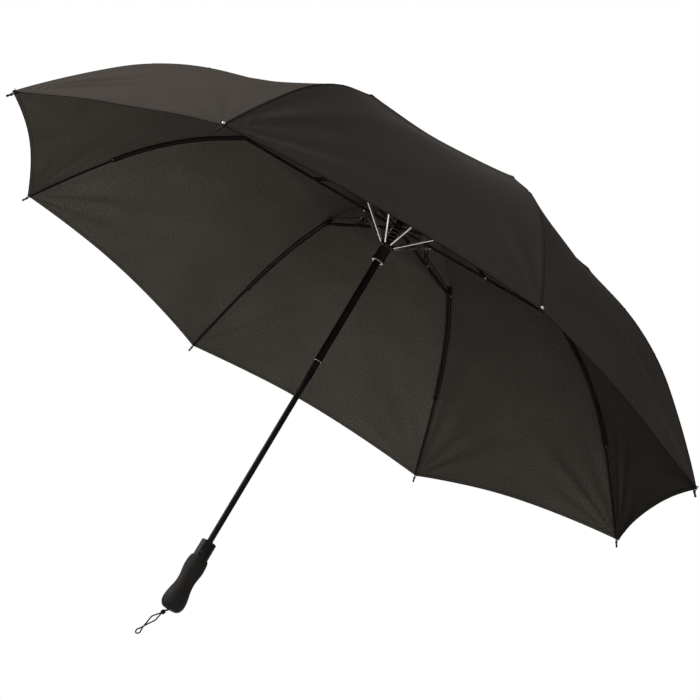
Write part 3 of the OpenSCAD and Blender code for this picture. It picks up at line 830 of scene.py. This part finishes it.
# where the top rib's fork meets the stretcher
crossing_at = 170
stretcher_a, stretcher_l = heading_of(hub_p, elbow), math.dist(hub_p, elbow)
crossing = along(hub_p, stretcher_a, crossing_at, 0)
top_rib_a, top_rib_l = heading_of(notch_p, crossing), math.dist(notch_p, crossing)
# link start, link angle, place along and off the link, side face, head radius and height
HEADS = {
    "top_rib": [(notch_p, top_rib_a, top_rib_l, 0, -3.8, 1.9, 0.7)],
    "stretcher": [
        (hub_p, stretcher_a, 58, -3, 2.6, 1.5, 0.55),
        (hub_p, stretcher_a, 58, -3, -2.6, 1.5, 0.55),
        (hub_p, stretcher_a, stretcher_l, 0, -4.1, 1.9, 0.7),
    ],
    "outer_rib": [
        (socket, socket_a, 0, 0, 3.6, 1.3, 0.5),
        (socket, socket_a, 0, 0, -3.6, 1.3, 0.5),
    ],
}
# a domed head as shares of its radius and height, and how far it sinks into its face in mm
DOME = [(0, 1), (0.5, 0.86), (0.86, 0.45), (1, 0.1)]
head_sink = 0.15


def out_of_face(side):
    """Turns Z to the rib's left or right."""
    return Matrix.Rotation(math.radians(-90 if side > 0 else 90), 4, "X")


def on_link(k, start, angle, s, y, up):
    """A place on a link of rib k: s along it, y across it and up off its back."""
    return in_rib_plane(k) @ at_link(start, angle) @ Matrix.Translation((s * MM, y * MM, up * MM))


def fitting(name, bm, finish, body):
    """A small piece that rides on a body."""
    made = piece(name, bm, finish)
    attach(made, body)
    return made


for kind, heads in HEADS.items():
    head_finish = dull_finish if kind == "outer_rib" else rivet_finish
    for k in RIBS:
        bm = bmesh.new()
        for start, angle, s, up, face_y, radius, height in heads:
            dome = [(r * radius, z * height) for r, z in DOME]
            dome += [(radius, -head_sink), (0, -head_sink)]
            place = on_link(k, start, angle, s, face_y, up)
            add_turned(bm, dome, place @ out_of_face(face_y))
        fitting(f"rivet_heads_{kind}_{k}", bm, head_finish, f"{kind}_body_{k}")

# the pin that holds the tie rod's eye on the top rib's tab
PIN = [(0, 0), (0.75, 0), (0.75, 2.45), (1.6, 2.45), (1.55, 2.8), (0.9, 3.1), (0, 3.15)]
for k in RIBS:
    bm = bmesh.new()
    place = on_link(k, notch_p, top_rib_a, top_rib_l - 17, 3.1, 6)
    add_turned(bm, PIN, place @ out_of_face(1))
    fitting(f"tie_pin_{k}", bm, rivet_finish, f"top_rib_body_{k}")

thread_r = 0.38 * MM
loop_gap, loop_corner = 0.42, 0.8


def thread_loop(bm, k, centre, up_dir, low, high, half):
    """Two turns of thread round a rib, in a rounded rectangle square to it."""
    ahead = Vector((up_dir[1], 0, -up_dir[0]))
    up = Vector((up_dir[0], 0, up_dir[1]))
    middle = Vector((centre[0], 0, centre[1]))
    for shift in (-loop_gap, loop_gap):
        line = []
        corners = ((half, high, 0), (-half, high, 90), (-half, low, 180), (half, low, 270))
        for cx, cz, start in corners:
            inset_y = math.copysign(loop_corner, cx)
            inset_z = loop_corner if cz == high else -loop_corner
            for turn in (0, 45, 90):
                a = math.radians(start + turn)
                y = cx - inset_y + loop_corner * math.cos(a)
                z = cz - inset_z + loop_corner * math.sin(a)
                place = middle + ahead * shift + up * z + Vector((0, y, 0))
                line.append(in_rib_plane(k) @ (place * MM))
        add_cord(bm, line, thread_r, 8, closed=True)


# the cloth is tied to each outer rib in two places, s beyond the elbow
ties = (78.0, 168.0)
tie_low, tie_high, tie_half = -2.8, channel_up + cloth_gap + 0.5, 3.75
# its end is whipped to the rod's cap with four turns, and sewn down with two long stitches
whip_turns, whip_r, whip_from, whip_l = 4, 1.65, 8.6, 3.4
stitch_from, stitch_run = 13, 6

for k in RIBS:
    bm = bmesh.new()
    for s in ties:
        centre, above = np.array(rib_point(s, 0)), np.array(rib_point(s, 1))
        thread_loop(bm, k, centre, above - centre, tie_low, tie_high, tie_half)
    fitting(f"thread_outer_rib_{k}", bm, thread_finish, f"outer_rib_body_{k}")

    bm = bmesh.new()
    whipping = []
    for t in np.linspace(0, 1, 61):
        a = 2 * math.pi * whip_turns * t
        r, z = rod_point(before_tip(whip_from - whip_l * t), whip_r * math.sin(a))
        whipping.append(in_rib_plane(k, whip_r * math.cos(a) * MM) @ Vector((r * MM, 0, z * MM)))
    add_cord(bm, whipping, thread_r, 8)
    for across in (-1.3, 1.3):
        stitch = []
        for t in np.linspace(0, 1, 7):
            up = 4.4 * (1 - t) + 1.2 * t + 0.5 * math.sin(math.pi * t)
            r, z = rod_point(before_tip(stitch_from - stitch_run * t), up)
            beside = in_rib_plane(k, across * (1.6 - 0.7 * t) * MM)
            stitch.append(beside @ Vector((r * MM, 0, z * MM)))
        add_cord(bm, stitch, thread_r, 8)
    fitting(f"thread_tip_{k}", bm, thread_finish, f"rib_rod_body_{k}")

# a moulded cap on the last 10 mm of each rod, with a rounded end
CAP = [
    (0, 0.5), (0.9, 0.42), (1.5, 0.1), (1.75, -0.5), (1.7, -1.3), (1.5, -1.7), (1.5, -9.2),
    (1.3, -9.5), (0, -9.5),
]
to_rod = Matrix.Rotation(math.radians(90), 4, "Y")
for k in RIBS:
    bm = bmesh.new()
    add_turned(bm, CAP, in_rib_plane(k) @ at_link(tip, rod_end_a) @ to_rod, 20)
    fitting(f"tip_cap_{k}", bm, FINISHES["ferrule"], f"rib_rod_body_{k}")

# a nickel stud on the outside of the cloth's corner, over each rod's end
STUD = [
    (0, 2.6), (1.2, 2.45), (2.0, 1.9), (2.4, 1.0), (2.3, 0.2), (1.8, -0.7), (1.4, -1.1), (0, -1.1),
]
stud_at = rod_point(before_tip(13.4), channel_up + off - 0.5)
for k in RIBS:
    bm = bmesh.new()
    add_turned(bm, STUD, on_link(k, stud_at, rod_end_a, 0, 0, 0.6), 20)
    fitting(f"tip_stud_{k}", bm, stud_finish, f"rib_rod_body_{k}")

# the short coil spring between the runner and the stretchers' hub
spring_low, spring_high, spring_turns, spring_r = 638.9, 665.7, 4, 8
coil = []
for a in np.linspace(0, 2 * math.pi * spring_turns, 32 * spring_turns + 1):
    z = spring_low + (spring_high - spring_low) * a / (2 * math.pi * spring_turns)
    coil.append(Vector((spring_r * math.cos(a), spring_r * math.sin(a), z)) * MM)
bm = bmesh.new()
add_cord(bm, coil, 1.1 * MM, 12)
spring = piece("coil_spring", bm, FINISHES["runner_spring"])
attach(spring, "runner_body")
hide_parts("runner_spring")
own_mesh(spring)

# a nickel washer under the runner, and the bright rolled end of the upper tube
WASHER = [(6.5, 602.2), (9.3, 602.2), (9.6, 602.4), (9.6, 602.98), (6.5, 602.98), (6.5, 602.2)]
bm = bmesh.new()
add_turned(bm, WASHER, Matrix.Identity(4), 64)
fitting("runner_washer", bm, stud_finish, "runner_body")

ROLLED = [(5.55, 409.4), (5.75, 409.3), (5.95, 409.5), (5.98, 410.0), (5.5, 410.0), (5.55, 409.4)]
bm = bmesh.new()
add_turned(bm, ROLLED, Matrix.Identity(4), 64)
fitting("upper_tube_rolled_end", bm, rivet_finish, "upper_shaft")

# a brass catch that lies flush in the lower tube
CATCH = [(0, 0.02), (0.75, 0.0), (0.9, -0.08), (0.9, -0.3), (0, -0.3)]
catch_at, normal = on_surface(*IMAGE_POINTS["tube_catch"], surface_tree(nodes["lower_tube"]))
out_of_tube = normal.to_track_quat("Z", "Y").to_matrix().to_4x4()
bm = bmesh.new()
add_turned(bm, CATCH, Matrix.Translation(catch_at) @ out_of_tube, 24)
fitting("tube_catch", bm, brass_finish, "handle")

# ---- Stage: a pale floor under the strap, clear from below, and plain studio light ----

floor_finish = bare_tree(bpy.data.materials.new("pale_painted_floor"))
rays = add(floor_finish, "LightPath")
# pale to the eye and in gloss, and darker to the cloth above, so that little light comes up
pale_to = {0: rays["Is Camera Ray"], 1: rays["Is Glossy Ray"]}
pale = add(floor_finish, "Math", links=pale_to, operation="MAXIMUM")[0]
tones = [(0.0, colour("#5c5b59")), (1.0, colour("#f2f1ee"))]
tone = add(floor_finish, "ValToRGB", links={"Fac": pale}, stops=tones)["Color"]
paint = add(floor_finish, "BsdfDiffuse", links={"Color": tone})[0]
clear = add(floor_finish, "BsdfTransparent")[0]
# clear to a camera below it
behind = {0: add(floor_finish, "NewGeometry")["Backfacing"], 1: rays["Is Camera Ray"]}
below = add(floor_finish, "Math", links=behind, operation="MULTIPLY")[0]
# it fades into the white round it from 1.3 to 2.8 m out, so that no edge shows
place = add(floor_finish, "TexCoord")["Object"]
out_from_middle = add(floor_finish, "VectorMath", links={0: place}, operation="LENGTH")["Value"]
fade = {"From Min": 1.3, "From Max": 2.8}
smooth = {"interpolation_type": "SMOOTHSTEP"}
faded = add(floor_finish, "MapRange", fade, {"Value": out_from_middle}, **smooth)["Result"]
unseen = add(floor_finish, "Math", links={0: below, 1: faded}, operation="MAXIMUM")[0]
# and it throws no shadow of its own on the umbrella
let_by = {0: unseen, 1: rays["Is Shadow Ray"]}
see_through = add(floor_finish, "Math", links=let_by, operation="MAXIMUM")[0]
mixed = add(floor_finish, "MixShader", links={"Fac": see_through, 1: paint, 2: clear})[0]
add(floor_finish, "OutputMaterial", links={"Surface": mixed})

floor_half, floor_drop = 6, 4 * MM
floor_z = Matrix.Translation((0, 0, cad_box[0][2] - floor_drop))
bm = bmesh.new()
bmesh.ops.create_grid(bm, x_segments=2, y_segments=2, size=floor_half, matrix=floor_z)
floor = piece("floor", bm, floor_finish)
floor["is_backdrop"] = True

# a soft warm-white surround that shows as plain white to the eye and in metal
world = bare_tree(bpy.data.worlds.new("studio"))
bpy.context.scene.world = world
rays = add(world, "LightPath")
seen = rays["Is Camera Ray"]
for kind in ("Is Glossy Ray", "Is Transmission Ray"):
    seen = add(world, "Math", links={0: seen, 1: rays[kind]}, operation="MAXIMUM")[0]
soft_light = add(world, "Background", {"Color": (1.0, 0.985, 0.965, 1), "Strength": 0.19})[0]
white = add(world, "Background", {"Color": (1, 1, 1, 1), "Strength": 1.0})[0]
mixed = add(world, "MixShader", links={"Fac": seen, 1: soft_light, 2: white})[0]
add(world, "OutputWorld", links={"Surface": mixed})


def lamp(name, place, aim, size, watts):
    """A round soft lamp that the camera doesn't see."""
    light = bpy.data.lights.new(name, "AREA")
    light.shape = "DISK"
    light.size = size
    light.energy = watts
    made = bpy.data.objects.new(name, light)
    bpy.context.collection.objects.link(made)
    made.location = place
    made.visible_camera = False
    made.rotation_euler = (aim - place).to_track_quat("-Z", "Y").to_euler()


middle = Vector((0, 0, 0.5))
under_canopy = middle + Vector((0, 0, 0.1))
lamp("key_lamp", middle + Vector((-3.0, 1.1, 0.9)), under_canopy, 1.5, 350)
lamp("back_lamp", middle + Vector((1.6, 2.7, 1.7)), middle, 2.0, 170)
lamp("low_lamp", middle + Vector((0, -3.1, -0.9)), middle, 1.5, 106)

bpy.context.scene.view_settings.view_transform = "Standard"

# ---- Sizes and image points ----

graph = bpy.context.evaluated_depsgraph_get()


def shown_extent():
    """The least and the greatest x and y of the finished object in the image."""
    lows, highs = [], []
    axes = np.array([camera_right, camera_down, camera_ahead])
    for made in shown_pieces():
        finished = made.evaluated_get(graph)
        mesh = finished.to_mesh()
        co = np.empty(len(mesh.vertices) * 3)
        mesh.vertices.foreach_get("co", co)
        turn, shift = finished.matrix_world.to_3x3(), finished.matrix_world.translation
        co = co.reshape(-1, 3) @ np.array(turn).T + np.array(shift)
        local = (co - np.array(camera_at)) @ axes.T
        flat = PHOTO_W / 2 + local[:, :2] * (PHOTO_W * lens / sensor_width / local[:, 2:3])
        finished.to_mesh_clear()
        lows.append(flat.min(0))
        highs.append(flat.max(0))
    return np.min(lows, 0), np.max(highs, 0)


low, high = shown_extent()
